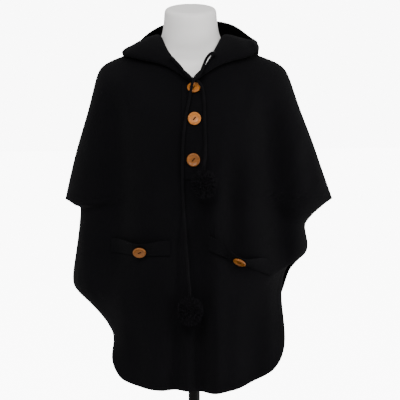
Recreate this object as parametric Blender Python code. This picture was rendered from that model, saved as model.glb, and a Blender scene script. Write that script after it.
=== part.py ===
"""Hooded knit poncho on a limbless dress form with a plain pole stand.

Metres, +Z up. The garment's front faces -Y and the wearer's left is +X. The origin is the
centre of the stand's underside. The cloth is built from sections: each panel has a short
table of rows from its neckline down to its hem, and a table of the folds that it hangs in.
"""

from math import acos, asin, copysign, cos, exp, pi, radians, sin, tan

import bmesh
import bpy
from mathutils import Matrix, Vector
from mathutils.bvhtree import BVHTree

MM = 0.001

# Driving sizes, in millimetres
CLOTH = 2.5  # thickness of the knit
SEAM_GAP = 0.3  # between pieces that meet
FORM_CLEAR = 2.1  # least room between the cloth and the form's sides
ON_SEAM = 1.0  # a panel's edge this near the middle of the body is a seam
PLACKET_WIDE = 46.0
PLACKET_LIFT = 0.7  # under a piece that is sewn on a panel
PLACKET_LAYER = 2.0
BUTTON = 27.0
BUTTON_THICK = 4.6
BUTTON_SIDES = 20
CORD = 6.0
CORD_STEP = 12.0  # between the points of a cord's line
POM_WIDE = 56.0
POM_DEEP = 48.0
POM_TALL = 64.0
POM_CORE = 0.62  # of the pompom's radius
CORD_SEAT = 0.81  # of the pompom's half height, where the cord meets its core between the locks
POM_TAPER = 0.35  # width of a lock's end over its root
POLE = 25.0
BASE_WIDE = 320.0
BASE_THICK = 8.0
COLLAR_WIDE = 43.0
COLLAR_TALL = 22.0
FLANGE_WIDE = 76.0
FLANGE_THICK = 6.0

# The dress form: rings from its foot to its neck cap.
# height, half width, front, back, forward tilt of the ring in degrees, and the exponent of its
# outline, where 2 is an ellipse
FORM_RINGS = [
    (340, 146, 82, 96, 0, 2.2),
    (352, 154, 88, 104, 0, 2.2),
    (400, 158, 92, 110, 0, 2.2),
    (450, 153, 92, 106, 0, 2.2),
    (510, 139, 88, 90, 0, 2.2),
    (570, 127, 85, 79, 0, 2.2),
    (620, 127, 88, 78, 0, 2.2),
    (680, 139, 107, 83, 0, 2.2),
    (730, 149, 126, 87, 0, 2.2),
    (765, 154, 132, 89, 0, 2.2),
    (800, 163, 121, 90, 0, 2.2),
    (835, 176, 102, 88, 0, 2.2),
    (865, 187, 83, 80, 0, 2.2),
    (888, 189, 67, 68, 0, 2.2),
    (901, 184, 56, 60, 0, 2.15),
    (909, 170, 52.5, 58, 0, 2.0),
    (917, 151, 50.5, 57, 0, 1.85),
    (926, 128, 50.5, 57, 1, 1.75),
    (935, 104, 50.5, 57, 2, 1.7),
    (944.8, 85.2, 51.5, 57, 4, 1.75),
    (954.5, 69, 53.5, 57, 7, 1.9),
    (966, 62, 54.5, 57, 10, 2),
    (984, 58, 56, 56, 13, 2),
    (1008, 56, 56, 56, 15, 2),
    (1019, 55.5, 55.5, 55.5, 15, 2),
    (1024, 53, 53, 53, 15, 2),
    (1026, 48, 48, 48, 15, 2),
]
FORM_SQUARE = 2.2  # exponent of the form's outline wherever the cloth is kept off it
FORM_TOP_OF_ARMS = 895.0
FORM_SIDES = 28

MIDDLE = 4.0  # x of the line that the panels hang round
SPREAD = 1.12  # above 1 it draws the panels' columns towards their middle

# Rows of the front panel. Each row runs from the edge at the wearer's right (x < 0), over
# the middle of the front, to the edge at the wearer's left.
# name, middle y z, right edge x y z, left edge x y z, roundness, rise to right and left
FRONT_ROWS = [
    ("neckline", -83, 877, -86, 0, 948, 86, 0, 948, 1.2, 0.9, 0.9),
    ("yoke", -95, 861, -120, 0, 936, 120, 0, 935, 1.15, 1.2, 1.2),
    ("shoulder", -109, 846, -155, 0, 923, 155, 0, 921, 1.1, 1.8, 1.8),
    ("shoulder point", -122, 830, -191, 0, 908, 195, 0, 906, 0.9, 2.4, 2.4),
    ("arm top", -137, 801, -201, 0, 882, 208, 0, 880, 0.8, 2.2, 2.2),
    ("upper arm", -144, 765, -218, 0, 815, 229, 0, 815, 0.8, 2.0, 2.0),
    ("mid arm", -146, 728, -241, 0, 742, 256, 0, 745, 0.8, 2.0, 2.0),
    ("low arm", -148, 690, -257, 0, 682, 277, 0, 682, 0.8, 2.0, 2.0),
    ("cuff point", -150, 652, -270, 0, 626, 298, 0, 622, 0.8, 2.0, 2.0),
    ("cuff", -151, 632, -244.5, -62, 615.5, 254, -66, 595, 0.8, 2.0, 2.0),
    ("side seam", -152, 610, -237, 0, 608, 239, 0, 567, 0.8, 2.0, 2.0),
    ("waist", -154, 565, -242, 0, 560, 242, 0, 545, 0.8, 2.0, 2.0),
    ("pocket", -156, 515, -251, 0, 500, 246, 0, 526, 0.8, 2.0, 2.0),
    ("hem corner", -158, 462, -261, 0, 443, 243, 0, 504, 0.8, 2.0, 2.0),
    ("hem rise", -160, 410, -209, -26, 396, 197, -30, 484, 0.8, 2.2, 2.2),
    ("hem side", -161, 355, -162, -58, 348, 182, -62, 430, 0.75, 2.6, 2.4),
    ("lower side", -162, 308, -172, -84, 312, 192, -88, 362, 0.7, 3.4, 2.4),
    ("lower corner", -163, 268, -170, -106, 286, 191, -106, 306, 0.7, 4.4, 2.6),
    ("hem", -163, 240, -154, -122, 264, 168, -124, 277.5, 0.7, 4.8, 2.7),
]
CORNER_ROWS = ("cuff point", "side seam", "hem corner")
FRONT_COLUMNS = 42
FRONT_STEPS = (1, 1, 1, 1, 2, 2, 2, 2, 2, 2, 2, 2, 1, 2, 1, 1, 1, 1)

# Rows of the back panel, with the same columns.
BACK_ROWS = [
    ("neckline", 70, 946, -86, 0, 948, 86, 0, 948, 0.9, 1.6, 1.6),
    ("yoke", 86, 930, -120, 0, 936, 120, 0, 935, 0.85, 1.8, 1.8),
    ("shoulder", 98, 908, -155, 0, 923, 155, 0, 921, 0.8, 2.0, 2.0),
    ("shoulder point", 107, 880, -191, 0, 908, 195, 0, 906, 0.75, 2.4, 2.4),
    ("arm top", 112, 845, -201, 0, 882, 208, 0, 880, 0.75, 2.2, 2.2),
    ("upper arm", 115, 792, -218, 0, 815, 229, 0, 815, 0.75, 2.0, 2.0),
    ("mid arm", 117, 738, -241, 0, 742, 256, 0, 745, 0.75, 2.0, 2.0),
    ("low arm", 120, 690, -257, 0, 682, 277, 0, 682, 0.75, 2.0, 2.0),
    ("cuff point", 124, 648, -270, 0, 626, 298, 0, 622, 0.75, 2.0, 2.0),
    ("cuff", 126, 626, -244.5, 56, 615.5, 255, 60, 597, 0.75, 2.0, 2.0),
    ("side seam", 128, 602, -237, 0, 608, 239, 0, 567, 0.75, 2.0, 2.0),
    ("waist", 132, 558, -242, 0, 560, 242, 0, 545, 0.75, 2.0, 2.0),
    ("pocket", 136, 508, -251, 0, 500, 246, 0, 526, 0.75, 2.0, 2.0),
    ("hem corner", 140, 458, -261, 0, 443, 243, 0, 504, 0.75, 2.0, 2.0),
    ("hem rise", 143, 405, -206, 26, 402, 208, 36, 470, 0.8, 2.2, 2.2),
    ("hem side", 146, 352, -161, 58, 354, 203, 58, 440, 0.75, 2.6, 2.4),
    ("lower side", 148, 306, -160, 82, 318, 174, 86, 352, 0.7, 3.2, 2.6),
    ("lower corner", 150, 270, -156, 100, 290, 172, 102, 308, 0.7, 3.6, 2.8),
    ("hem", 151, 244, -142, 116, 268, 156, 118, 284, 0.7, 3.6, 2.8),
]
BACK_COLUMNS = 30
BACK_STEPS = (1, 1, 1, 1, 2, 1, 2, 1, 2, 1, 2, 1, 1, 1, 1, 1, 1, 1)

# Folds that each panel hangs in. A depth above zero is a trough that goes in towards the
# wearer, and one below zero is a ridge that stands out.
# name, x at top, middle and foot, height of top and foot, half width, depth
FRONT_FOLDS = [
    ("right arm trough", -161, -157, -166, 880, 430, 25, 40),
    ("right side hollow", -205, -196, -190, 640, 360, 20, 14),
    ("right pocket trough", -90, -87, -84, 500, 330, 13, 9),
    ("right centre trough", -16, -26, -46, 610, 170, 13, 21),
    ("left centre trough", 14, 14, 12, 650, 170, 13, 22),
    ("centre ridge", -2, -6, -17, 560, 170, 9, -5),
    ("left breast trough", 88, 82, 80, 750, 500, 15, 18),
    ("left ridge", 52, 50, 46, 700, 200, 11, -8),
    ("left arm trough", 162, 169, 188, 870, 455, 23, 40),
    ("left wing trough", 236, 244, 252, 790, 610, 11, 9),
    ("left hem trough", 128, 124, 118, 420, 170, 16, 10),
    ("right hem trough", -112, -118, -122, 400, 170, 15, 10),
]
BACK_FOLDS = [
    ("right arm trough", -160, -166, -172, 860, 420, 24, 38),
    ("right inner trough", -92, -102, -112, 720, 180, 17, 22),
    ("right centre trough", -34, -40, -52, 640, 170, 15, 20),
    ("centre ridge", 4, 4, 4, 600, 170, 14, -8),
    ("left centre trough", 42, 46, 56, 680, 170, 15, 21),
    ("left inner trough", 100, 108, 114, 700, 200, 17, 22),
    ("left arm trough", 162, 170, 182, 860, 450, 23, 40),
]
FOLD_FADE = 90.0  # height over which a fold deepens from its top
FOLD_END = 60.0  # height over which it fades out at its foot

# Places where the hem hangs lower: x, half width, drop
FRONT_DIPS = [(44, 30, 7), (-62, 22, 1), (96, 16, 3)]
BACK_DIPS = [(-70, 24, 5), (10, 22, 4), (84, 24, 5)]
DIP_HEIGHT = 110.0  # above the hem, where its dips fade out

# The hood lies down round the neck. At each place round the neckline its cloth runs out
# over the panels to a fold, and comes back up to the rim of its mouth. Places from -1 to
# -0.5 and from 0.5 to 1 are on the front panel, and the others are on the back panel.
# round, fold x z, roll radius, rim x y z, bulge
HOOD_STATIONS = [
    (-1.00, -1, 869, 2.5, -1, -97, 881, 0),
    (-0.92, -19, 883, 3.2, -13, -94, 889, 1),
    (-0.84, -40, 899, 4.2, -27, -87, 907, 3),
    (-0.76, -64, 909, 5.5, -46, -72, 930, 5),
    (-0.68, -92, 914, 6.5, -57, -46, 955, 7),
    (-0.60, -118, 920, 7.0, -68, -12, 971, 8),
    (-0.54, -134, 922, 4.5, -103, 12, 957, 5),
    (-0.50, -139, 923, 3.2, -118, 27, 947, 2),
    (-0.44, -137, 902, 5.0, -112, 55, 955, 10),
    (-0.34, -122, 862, 11.0, -86, 82, 980, 20),
    (-0.18, -74, 806, 12.0, -47, 96, 999, 32),
    (0.00, 0, 782, 12.0, 0, 99, 1001, 38),
    (0.18, 76, 806, 12.0, 49, 97, 1003, 32),
    (0.34, 124, 862, 11.0, 91, 84, 992, 20),
    (0.44, 135, 905, 9.0, 120, 58, 970, 8),
    (0.50, 133, 930, 7.0, 136, 27, 954, 4),
    (0.54, 128, 925, 7.0, 112, 14, 956, 6),
    (0.60, 116, 919, 7.0, 73, -4, 971, 8),
    (0.68, 92, 914, 6.5, 59, -38, 951, 7),
    (0.76, 64, 907, 5.5, 46, -73, 928, 5),
    (0.84, 41, 894, 4.2, 32, -87, 902, 3),
    (0.92, 22, 881, 3.2, 18, -93, 889, 1),
    (1.00, 9, 869, 2.5, 9, -97, 881, 0),
]
HOOD_COLUMNS = 42
HOOD_GATHER = 0.45  # draws the columns towards the shoulder seams, where the hood bends most
HOOD_UNDER = 4  # steps of the layer that lies on the panels
HOOD_ROLL = 3  # steps round the fold
HOOD_OVER = 5  # steps of the layer on top
HOOD_LIFT = 1.9  # mid-cloth height over a panel at the neck seam
HOOD_LIFT_OUT = 0.45  # more of it at the fold, of the fold's radius
HOOD_LIFT_SEAM = 1.6  # more of it where the hood crosses the shoulder seams
HOOD_SEAM_NEAR = 0.05
NECK_STOP = 0.035  # share of a half neckline that the hood's ends stop short of the middle
CASING = 1.2  # extra thickness of the drawcord casing along the rim

# Buttons on the placket: x, z
PLACKET_BUTTONS = [(6, 854), (7, 794.5), (4, 712)]
PLACKET_MIDDLE = 4.0
PLACKET_TOP = 862.0
PLACKET_FOOT = 672.0

# Pockets: x and z of the button, lean of the lip under it and slope of the welt, in degrees
POCKETS = {"right": (-107, 530, 40, 0), "left": (97, 507, 63, -24)}
POCKET_WIDE = 124.0
POCKET_LIFT = 0.9
POCKET_WELT = 30.0

# Pompoms: x, y, z of the middle
POMPOMS = {"left": (-6, -175.5, 407), "right": (25, -175, 664)}

# Drawcord routes, from the eyelet in the hood's rim to the top of the pompom: x, y, z
CORD_ROUTES = {
    "left": [
        (49.3, -84.2, 925.3),
        (48.6, -86.8, 927),
        (46.6, -90.8, 928.6),
        (43.2, -94.8, 928.6),
        (38.3, -98, 925),
        (32.3, -100.5, 917),
        (27.5, -103, 906.5),
        (23.5, -106, 896.5),
        (19.5, -108.5, 887.5),
        (13.5, -110.8, 880.5),
        (7, -113.3, 874.5),
        (2.5, -117, 866),
        (0.5, -120, 856),
        (-1.5, -123.5, 845),
        (-5, -134.5, 825),
        (-10, -144.5, 803),
        (-14, -150, 775),
        (-17, -152.5, 740),
        (-18, -154.5, 700),
        (-18, -155, 660),
        (-17, -156, 620),
        (-15, -159, 580),
        (-13, -162, 540),
        (-10, -166, 500),
        (-8, -170, 470),
        (-6, -175, 450),
    ],
    "right": [
        (-40.3, -89.2, 919),
        (-39.5, -91.9, 920.4),
        (-37.7, -95.4, 919.8),
        (-34.6, -98.4, 916.1),
        (-29, -100.8, 909.8),
        (-23, -102, 903.5),
        (-16, -102.4, 894),
        (-8, -102.8, 884.5),
        (1, -104.5, 878),
        (9.5, -106.5, 874),
        (17, -109.8, 868.5),
        (22.5, -113.5, 859.5),
        (25.5, -119.5, 847),
        (27, -130, 830),
        (27.5, -143.5, 802),
        (28, -150, 770),
        (28.5, -154, 740),
        (28, -163, 719),
        (26, -173, 706),
    ],
}

COLOURS = {
    "knit": ((0.012, 0.012, 0.014), 0.95, 0.0),
    "yarn": ((0.006, 0.006, 0.007), 0.98, 0.0),
    "wood": ((0.55, 0.25, 0.09), 0.4, 0.0),
    "form": ((0.78, 0.77, 0.76), 0.3, 0.0),
    "steel": ((0.03, 0.03, 0.032), 0.35, 0.8),
}


def material(name):
    """The plain finish of that name."""
    found = bpy.data.materials.get(name)
    if found:
        return found
    made = bpy.data.materials.new(name)
    made.use_nodes = True
    colour, roughness, metallic = COLOURS[name]
    shader = made.node_tree.nodes["Principled BSDF"]
    shader.inputs["Base Color"].default_value = (*colour, 1)
    shader.inputs["Roughness"].default_value = roughness
    shader.inputs["Metallic"].default_value = metallic
    return made


def add_object(name, bm, finish, smooth_angle=50):
    """A named object from a bmesh whose points are in millimetres."""
    bmesh.ops.recalc_face_normals(bm, faces=bm.faces)
    bmesh.ops.scale(bm, vec=(MM, MM, MM), verts=bm.verts)
    mesh = bpy.data.meshes.new(name)
    bm.to_mesh(mesh)
    bm.free()
    mesh.shade_smooth()
    mesh.set_sharp_from_angle(angle=radians(smooth_angle))
    mesh.materials.append(material(finish))
    made = bpy.data.objects.new(name, mesh)
    bpy.context.scene.collection.objects.link(made)
    return made


def lerp(a, b, share):
    return a + (b - a) * share


def ease(share):
    """A smooth step from 0 to 1."""
    share = min(max(share, 0.0), 1.0)
    return share * share * (3 - 2 * share)


def along_rows(values, corners, t):
    """A column of a table read at row position t: a smooth curve with a corner at some rows."""
    last = len(values) - 1
    i = min(int(t), last - 1)
    f = t - i
    a, b = values[i], values[i + 1]
    slope_a = b - a if i == 0 or i in corners else (b - values[i - 1]) / 2
    slope_b = b - a if i + 1 == last or i + 1 in corners else (values[i + 2] - a) / 2
    return (
        (2 * f**3 - 3 * f**2 + 1) * a
        + (f**3 - 2 * f**2 + f) * slope_a
        + (3 * f**2 - 2 * f**3) * b
        + (f**3 - f**2) * slope_b
    )


def form_ring(z):
    """Half width, front and back of the form at a height."""
    for low, high in zip(FORM_RINGS, FORM_RINGS[1:]):
        if z <= high[0]:
            share = max((z - low[0]) / (high[0] - low[0]), 0.0)
            return [lerp(low[k], high[k], share) for k in (1, 2, 3)]
    return FORM_RINGS[-1][1:4]


def keep_clear(x, y, z):
    """Moves a point of the cloth's outer face off the form by the cloth and its clearance."""
    if not FORM_RINGS[0][0] - 5 < z < FORM_TOP_OF_ARMS:
        return Vector((x, y, z))
    half, front, back = (size + CLOTH + FORM_CLEAR for size in form_ring(z))
    deep = front if y < 0 else back
    size = (abs(x / half) ** FORM_SQUARE + abs(y / deep) ** FORM_SQUARE) ** (1 / FORM_SQUARE)
    if size >= 1:
        return Vector((x, y, z))
    return Vector((x / size, y / size, z))


class Panel:
    """One cloth panel: its rows, its folds, the dips of its hem and the way it faces."""

    def __init__(self, rows, folds, dips, facing):
        self.names = [row[0] for row in rows]
        self.columns = list(zip(*[row[1:] for row in rows]))
        self.corners = {self.names.index(name) for name in CORNER_ROWS}
        self.folds = folds
        self.dips = dips
        self.facing = facing  # -1 for the front and 1 for the back

    def side(self, t, left):
        """The row at position t on one side: middle y and z, edge x and z, roundness, rise, turn.

        A row is part of an oval round the body. Its turn is the angle at which it is cut, a
        quarter circle where it reaches a side seam.
        """
        row = [along_rows(column, self.corners, t) for column in self.columns]
        mid_y, mid_z, roundness = row[0], row[1], row[8]
        edge_x, edge_y, edge_z = row[5:8] if left else row[2:5]
        turn = acos(max(edge_y / mid_y, 0.0) ** (1 / roundness))
        return mid_y, mid_z, edge_x, edge_z, roundness, row[10 if left else 9], turn

    def fold_depth(self, x, z):
        """How far the folds take the cloth in at a place on the panel."""
        total = 0.0
        for _, x_top, x_mid, x_foot, top, foot, half_width, depth in self.folds:
            down = min(max((top - z) / (top - foot), 0.0), 1.0)
            middle = (
                x_top * (1 - down) * (1 - 2 * down)
                + x_mid * 4 * down * (1 - down)
                + x_foot * down * (2 * down - 1)
            )
            strength = ease((top - z) / FOLD_FADE) * ease((z - foot) / FOLD_END)
            total += strength * depth * exp(-(((x - middle) / half_width) ** 2) / 2)
        return total

    def hem_dip(self, x, z):
        """How far the dips of the hem take the cloth down there."""
        near_hem = ease((self.columns[1][-1] + DIP_HEIGHT - z) / DIP_HEIGHT)
        drops = (drop * exp(-(((x - middle) / half) ** 2) / 2) for middle, half, drop in self.dips)
        return near_hem * sum(drops)

    def point(self, u, t):
        """The cloth's outer face at u across, from -1 to 1, and row position t."""
        mid_y, mid_z, edge_x, edge_z, roundness, rise, last_turn = self.side(t, u >= 0)
        turn = abs(u) ** SPREAD * last_turn
        out = sin(turn) / sin(last_turn)
        x = lerp(MIDDLE, edge_x, out)
        y = mid_y * max(cos(turn), 0.0) ** roundness
        z = lerp(mid_z, edge_z, out**rise)
        inside = 1 - abs(u) ** 8
        y -= self.facing * self.fold_depth(x, z) * inside
        z -= self.hem_dip(x, z) * inside
        return keep_clear(x, y, z)

    def normal(self, u, t):
        """The outward direction there."""
        last = len(self.names) - 1.0
        across = self.point(min(u + 0.01, 1), t) - self.point(max(u - 0.01, -1), t)
        down = self.point(u, min(t + 0.05, last)) - self.point(u, max(t - 0.05, 0))
        return (across.cross(down) * self.facing).normalized()

    def place(self, x, z):
        """The u and row position whose point has this x and z."""
        u, t = 0.0, 0.0
        low, high = 0.0, len(self.names) - 1.0
        for _ in range(30):
            t = (low + high) / 2
            _, _, edge_x, _, _, _, last_turn = self.side(t, x >= MIDDLE)
            out = min((x - MIDDLE) / (edge_x - MIDDLE), 1.0)
            u = (asin(out * sin(last_turn)) / last_turn) ** (1 / SPREAD)
            u = u if x >= MIDDLE else -u
            if self.point(u, t).z > z:
                low = t
            else:
                high = t
        return u, t

    def over(self, u, t, lift):
        """A point over the panel at that height."""
        return self.point(u, t) + self.normal(u, t) * lift


FRONT = Panel(FRONT_ROWS, FRONT_FOLDS, FRONT_DIPS, -1)
BACK = Panel(BACK_ROWS, BACK_FOLDS, BACK_DIPS, 1)


def row_positions(steps):
    """Row positions with that many steps between each pair of table rows."""
    made = [0.0]
    for i, count in enumerate(steps):
        made += [i + (k + 1) / count for k in range(count)]
    return made


def grid_normals(points):
    """The normal at each point of a grid, from its neighbours."""
    rows, columns = len(points), len(points[0])
    found = []
    for i in range(rows):
        line = []
        for j in range(columns):
            down = points[min(i + 1, rows - 1)][j] - points[max(i - 1, 0)][j]
            across = points[i][min(j + 1, columns - 1)] - points[i][max(j - 1, 0)]
            line.append(down.cross(across).normalized())
        found.append(line)
    return found


def cell_triangles(grid, i, j):
    """The two triangles of a grid's cell, as places in the grid, cut along its shorter way."""
    a, b, c, d = (i, j), (i + 1, j), (i + 1, j + 1), (i, j + 1)
    spot = {place: grid[place[0]][place[1]] for place in (a, b, c, d)}
    if (spot[a] - spot[c]).length < (spot[b] - spot[d]).length:
        return (a, b, c), (a, c, d)
    return (a, b, d), (b, c, d)


def wall(bm, outer, inner):
    """A closed sheet between two grids of the same size, both cut into the same triangles."""
    faces = [[[bm.verts.new(p) for p in row] for row in grid] for grid in (outer, inner)]
    rows, columns = len(outer), len(outer[0])
    for i in range(rows - 1):
        for j in range(columns - 1):
            for triangle in cell_triangles(outer, i, j):
                bm.faces.new([faces[0][m][n] for m, n in triangle])
                bm.faces.new([faces[1][m][n] for m, n in triangle[::-1]])
    edge = [(i, 0) for i in range(rows)]
    edge += [(rows - 1, j) for j in range(1, columns)]
    edge += [(i, columns - 1) for i in range(rows - 2, -1, -1)]
    edge += [(0, j) for j in range(columns - 2, 0, -1)]
    for (i, j), (m, n) in zip(edge, edge[1:] + edge[:1]):
        bm.faces.new([faces[0][m][n], faces[0][i][j], faces[1][i][j], faces[1][m][n]])


def panel_solid(name, panel, columns, steps):
    """A panel's wall. Its seam edges stay on its own side of the seam."""
    outer = []
    for t in row_positions(steps):
        line = [panel.point(-1 + 2 * j / columns, t) for j in range(columns + 1)]
        for j in (0, columns):
            if abs(line[j].y) < ON_SEAM:
                line[j].y = panel.facing * SEAM_GAP / 2
        outer.append(line)
    inner = []
    for line, normals in zip(outer, grid_normals(outer)):
        row = []
        for j, (point, normal) in enumerate(zip(line, normals)):
            outward = normal * -panel.facing
            if j in (0, columns) and abs(point.y) < ON_SEAM:
                outward = Vector((outward.x, 0, outward.z)).normalized()
            moved = point - outward * CLOTH
            if panel.facing * moved.y < SEAM_GAP / 2:
                moved.y = panel.facing * SEAM_GAP / 2
            row.append(moved)
        inner.append(row)
    panel.tree = grid_tree(outer)
    bm = bmesh.new()
    wall(bm, outer, inner)
    return add_object(name, bm, "knit")


def grid_tree(grid):
    """A search tree of a grid's triangles."""
    columns = len(grid[0])
    places = [(i, j) for i in range(len(grid) - 1) for j in range(columns - 1)]
    triangles = [t for i, j in places for t in cell_triangles(grid, i, j)]
    flat = [[i * columns + j for i, j in triangle] for triangle in triangles]
    return BVHTree.FromPolygons([point for row in grid for point in row], flat)


def lift_off(point, least):
    """A point, moved out where it is nearer than least to the panels' faceted outer faces."""
    for panel in (FRONT, BACK):
        near, normal, _, _ = panel.tree.find_nearest(point, 4 * least + 10)
        if near is None:
            continue
        normal = normal * -panel.facing
        height = (point - near).dot(normal)
        if height < least:
            point = point + normal * (least - height)
    return point


def hood_station(around):
    """The hood's table read at a place round the neck."""
    places = [station[0] for station in HOOD_STATIONS]
    last = len(places) - 1
    i = max(k for k in range(last) if places[k] <= around or k == 0)
    t = i + (around - places[i]) / (places[i + 1] - places[i])
    return [along_rows(column, (), min(t, last)) for column in list(zip(*HOOD_STATIONS))[1:]]


def hood_section(around):
    """The middle of the hood's cloth at one place round the neck, from seam to rim."""
    fold_x, fold_z, roll, rim_x, rim_y, rim_z, bulge = hood_station(around)
    panel = FRONT if abs(around) > 0.5 else BACK
    seam_u = around * 2
    if panel is FRONT:
        seam_u = (1 - abs(around)) * 2 * (1 - NECK_STOP) + NECK_STOP
        seam_u *= 1 if around > 0 else -1
    fold_u, fold_t = panel.place(fold_x, fold_z)
    base = HOOD_LIFT + HOOD_LIFT_SEAM * exp(-(((abs(around) - 0.5) / HOOD_SEAM_NEAR) ** 2))
    line = []
    for k in range(HOOD_UNDER + 1):
        share = k / HOOD_UNDER
        lift = base + HOOD_LIFT_OUT * roll * share**0.5
        point = panel.over(lerp(seam_u, fold_u, share), fold_t * share, lift)
        line.append(lift_off(point, lift))
    fold, off = line[-1], panel.normal(fold_u, fold_t)
    out = (fold - line[-2]).normalized()
    for k in range(1, HOOD_ROLL + 1):
        turn = pi * k / HOOD_ROLL
        line.append(fold + out * roll * sin(turn) + off * roll * (1 - cos(turn)))
    line = [lift_off(point, base) for point in line]
    start, rim = line[-1], Vector((rim_x, rim_y, rim_z))
    for k in range(1, HOOD_OVER + 1):
        share = k / HOOD_OVER
        line.append(start.lerp(rim, share) + off * bulge * 4 * share * (1 - share))
    return line


def hood_solid():
    """The hood's wall, thicker along the rim where the drawcord runs."""
    even = [-1 + 2 * j / HOOD_COLUMNS for j in range(HOOD_COLUMNS + 1)]
    places = [share - HOOD_GATHER * sin(2 * pi * (share - 0.5)) / (2 * pi) for share in even]
    middle = [hood_section(around) for around in places]
    casing = HOOD_UNDER + HOOD_ROLL + HOOD_OVER - 1
    outer, inner = [], []
    for line, normals in zip(middle, grid_normals(middle)):
        halves = [CLOTH / 2 + (CASING if k >= casing else 0) for k in range(len(line))]
        outer.append([p - n * half for p, n, half in zip(line, normals, halves)])
        inner.append([p + n * CLOTH / 2 for p, n in zip(line, normals)])
    bm = bmesh.new()
    wall(bm, outer, inner)
    return add_object("hood", bm, "knit")


def form_solid():
    """The torso and neck form, lofted through its rings and closed at both ends."""
    bm = bmesh.new()
    loops = []
    for height, half, front, back, tilt, exponent in FORM_RINGS:
        power = 2 / exponent
        ring = []
        for k in range(FORM_SIDES):
            a = 2 * pi * k / FORM_SIDES
            x = half * copysign(abs(cos(a)) ** power, cos(a))
            y = (front if sin(a) < 0 else back) * copysign(abs(sin(a)) ** power, sin(a))
            ring.append(bm.verts.new((x, y, height + y * tan(radians(tilt)))))
        loops.append(ring)
    for low, high in zip(loops, loops[1:]):
        for k in range(FORM_SIDES):
            m = (k + 1) % FORM_SIDES
            bm.faces.new([low[k], low[m], high[m], high[k]])
    bm.faces.new(loops[0][::-1])
    bm.faces.new(loops[-1])
    return add_object("dress_form", bm, "form")


def disc_solid(name, radius, low, high, bevel, segments):
    """An upright steel disc or rod with its top edge eased."""
    bm = bmesh.new()
    bmesh.ops.create_cone(
        bm,
        cap_ends=True,
        segments=segments,
        radius1=radius,
        radius2=radius,
        depth=high - low,
        matrix=Matrix.Translation((0, 0, (low + high) / 2)),
    )
    if bevel:
        rim = [e for e in bm.edges if all(v.co.z > high - 0.01 for v in e.verts)]
        bmesh.ops.bevel(
            bm, geom=rim, offset=bevel, segments=2, profile=0.5, affect="EDGES", material=-1
        )
    return add_object(name, bm, "steel")


def stand_solids():
    """Base plate, collar, pole and the flange under the torso, each clear of the next."""
    collar_foot = BASE_THICK + SEAM_GAP
    collar_top = collar_foot + COLLAR_TALL
    flange_top = FORM_RINGS[0][0] - SEAM_GAP
    flange_foot = flange_top - FLANGE_THICK
    disc_solid("base_plate", BASE_WIDE / 2, 0, BASE_THICK, 2, 48)
    disc_solid("base_collar", COLLAR_WIDE / 2, collar_foot, collar_top, 2, 24)
    disc_solid("pole", POLE / 2, collar_top + SEAM_GAP, flange_foot - SEAM_GAP, 0, 24)
    disc_solid("torso_flange", FLANGE_WIDE / 2, flange_foot, flange_top, 0, 32)


def layer_solid(name, inner, outer):
    """A flat piece between two grids of points. Returns a search tree of its outer face."""
    bm = bmesh.new()
    wall(bm, outer, inner)
    add_object(name, bm, "knit")
    return grid_tree(outer)


def placket_solid():
    """The buttoned placket down the middle of the front, made from the panel's points.

    Returns a search tree of its outer face.
    """
    rows, columns = 12, 4
    inner, outer = [], []
    for i in range(rows + 1):
        z = lerp(PLACKET_TOP, PLACKET_FOOT, i / rows)
        xs = [PLACKET_MIDDLE + PLACKET_WIDE * (j / columns - 0.5) for j in range(columns + 1)]
        places = [FRONT.place(x, z) for x in xs]
        inner.append([lift_off(FRONT.over(u, t, PLACKET_LIFT), PLACKET_LIFT) for u, t in places])
        outer.append([p + FRONT.normal(u, t) * PLACKET_LAYER for p, (u, t) in zip(inner[-1], places)])
    return layer_solid("placket", inner, outer)


def pocket_lip(side, along, up):
    """A point on a pocket's lip and the way it faces.

    along runs from -1 to 1 over the pocket's width and up from 0 to 1 over the welt. The
    lip lies on the panel at its ends and its foot, and leans out at the middle of its top.
    """
    x_button, z_button, lean, slope = POCKETS[side]
    angle = radians(lean) * (1 - along**2) ** 2
    x = x_button + along * POCKET_WIDE / 2
    foot = z_button - POCKET_WELT / 2 * cos(radians(lean))
    foot += along * POCKET_WIDE / 2 * tan(radians(slope))
    u, t = FRONT.place(x, foot + POCKET_WELT * up * cos(angle))
    off = FRONT.normal(u, t)
    point = FRONT.over(u, t, POCKET_LIFT) + Vector((0, -1, 0)) * POCKET_WELT * up * sin(angle)
    return point, (off * cos(angle) + Vector((0, 0, -1)) * sin(angle)).normalized()


def pocket_welt(side):
    """The knitted welt of a pocket, under its button. Returns a search tree of its outer face."""
    rows, columns = 4, 14
    inner, outer = [], []
    for i in range(rows + 1):
        faces = [pocket_lip(side, 2 * j / columns - 1, 1 - i / rows) for j in range(columns + 1)]
        inner.append([lift_off(point, POCKET_LIFT) for point, _ in faces])
        outer.append([p + facing * PLACKET_LAYER for p, (_, facing) in zip(inner[-1], faces)])
    return layer_solid(f"pocket_welt_{side}", inner, outer)


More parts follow.
